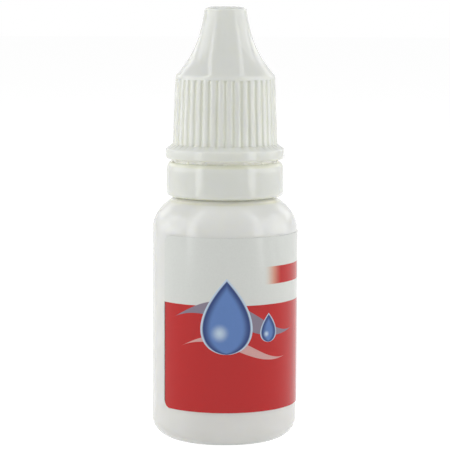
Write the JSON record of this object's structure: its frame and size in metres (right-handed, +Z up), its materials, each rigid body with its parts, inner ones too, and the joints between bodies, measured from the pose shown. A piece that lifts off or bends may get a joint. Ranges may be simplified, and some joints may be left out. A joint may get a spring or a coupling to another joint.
{
  "type": "eye drop bottle",
  "caption": "Small round squeeze bottle with a wrap-round label, a press-in dropper nozzle, and a ribbed, bell-shaped screw cap on its tamper-evident ring.",
  "frame": {"origin": "centre of the base on the surface that the bottle stands on", "axes": "+Z up along the bottle's axis, towards the cap; -Y out of the front of the label; +X to the right when the front is seen"},
  "size_m": [0.026, 0.0262, 0.0771],
  "materials": {
    "bottle_ldpe": "satin, slightly translucent white low-density polyethylene",
    "tip_ldpe": "satin natural low-density polyethylene",
    "cap_polypropylene": "soft-gloss white moulded polypropylene",
    "label_film": "printed white polypropylene film, red below and white above"
  },
  "bodies": {
    "bottle": {"bottle": "bottle_ldpe", "dropper_tip": "tip_ldpe", "label": "label_film"},
    "tamper_ring": {"tamper_ring": "cap_polypropylene"},
    "screw_cap": {"screw_cap": "cap_polypropylene"}
  },
  "joints": [
    {"name": "cap_turn", "type": "hinge", "parent": "bottle", "child": "tamper_ring", "pos_m": [0, 0, 0.0465], "axis": [0, 0, 1], "range_deg": [0, 3240]},
    {"name": "cap_rise", "type": "slide", "parent": "tamper_ring", "child": "screw_cap", "axis": [0, 0, 1], "range_m": [0, 0.027]}
  ],
  "couplings": [
    {"joint": "cap_rise", "follows": "cap_turn", "m_per_rad": 0.00047746}
  ]
}
